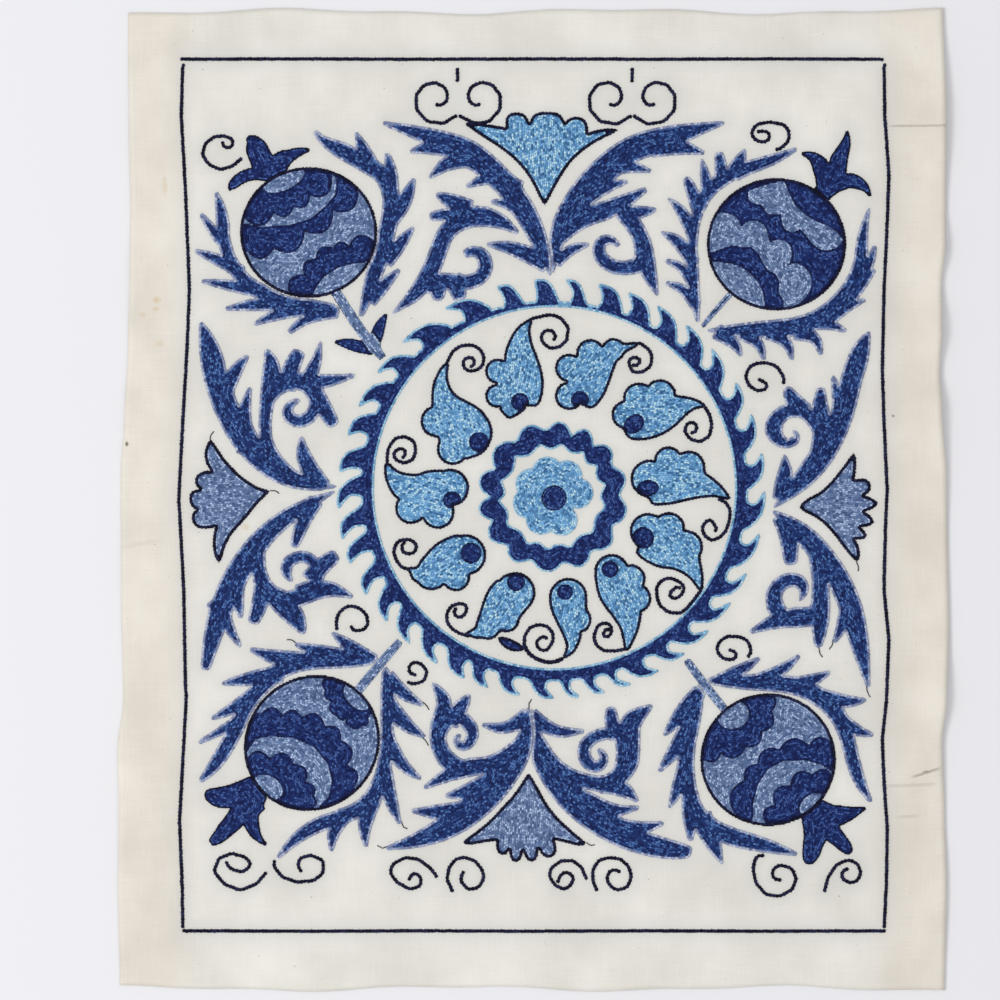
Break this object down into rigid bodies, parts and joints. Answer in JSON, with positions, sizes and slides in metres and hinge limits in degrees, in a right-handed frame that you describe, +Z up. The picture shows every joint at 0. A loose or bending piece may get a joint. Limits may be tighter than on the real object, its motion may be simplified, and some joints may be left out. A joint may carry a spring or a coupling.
{
  "type": "embroidered textile panel",
  "caption": "Handloom cotton panel laid flat, worked in blue silk chain stitch with a toothed medallion, pomegranates, long leaves and curls.",
  "frame": {"origin": "middle of the cloth's underside, on the surface that it lies on", "axes": "+X across the cloth from selvage to selvage, +Y along the cloth, +Z up from the embroidered face"},
  "size_m": [0.5069, 0.5998, 0.006],
  "materials": {
    "ground_cloth": "unbleached plain-weave cotton",
    "navy_thread": "loosely twisted silk in chain stitch",
    "blue_thread": "loosely twisted silk in chain stitch",
    "slate_thread": "loosely twisted silk in chain stitch",
    "sky_thread": "loosely twisted silk in chain stitch"
  },
  "bodies": {
    "root": {"ground_cloth": "ground_cloth", "ring": "blue_thread", "rosette_ring": "blue_thread", "rosette_flower": "sky_thread", "border_left": "navy_thread", "border_right": "navy_thread", "border_top": "navy_thread", "border_bottom": "navy_thread", "pomegranate_top_left": "blue_thread", "pomegranate_top_right": "blue_thread", "pomegranate_bottom_left": "blue_thread", "pomegranate_bottom_right": "blue_thread", "frond_top_left_right": "blue_thread", "frond_top_left_left": "blue_thread", "frond_top_right_left": "blue_thread", "frond_top_right_right": "blue_thread", "frond_bottom_left_left": "blue_thread", "frond_bottom_left_right": "blue_thread", "frond_bottom_right_right": "blue_thread", "frond_bottom_right_left": "blue_thread", "leaf_top_left": "blue_thread", "scroll_top_left": "blue_thread", "leaf_top_right": "blue_thread", "leaf_left_upper": "blue_thread", "leaf_left_lower": "blue_thread", "leaf_right_upper": "blue_thread", "leaf_right_lower": "blue_thread", "leaf_bottom_left": "blue_thread", "leaf_bottom_right": "blue_thread", "tulip_top": "sky_thread", "tulip_bottom": "slate_thread", "tulip_left": "slate_thread", "tulip_right": "slate_thread", "boteh_1": "sky_thread", "boteh_2": "sky_thread", "boteh_3": "sky_thread", "boteh_4": "sky_thread", "boteh_5": "sky_thread", "boteh_6": "sky_thread", "boteh_7": "sky_thread", "boteh_8": "sky_thread", "boteh_9": "sky_thread", "boteh_10": "sky_thread", "boteh_11": "sky_thread", "curl_top_left": "navy_thread", "curl_top_right": "navy_thread", "curl_right": "navy_thread", "curl_left_lower": "navy_thread", "curl_bottom_left": "navy_thread", "curl_right_lower": "navy_thread", "curl_bottom_1": "navy_thread", "curl_bottom_2": "navy_thread", "curl_bottom_3": "navy_thread", "curl_bottom_4": "navy_thread", "curl_bottom_5": "navy_thread", "curl_bottom_6": "navy_thread", "curl_bottom_7": "navy_thread", "curl_bottom_8": "navy_thread", "horns_top_left": "navy_thread", "horns_top_right": "navy_thread"}
  },
  "joints": []
}
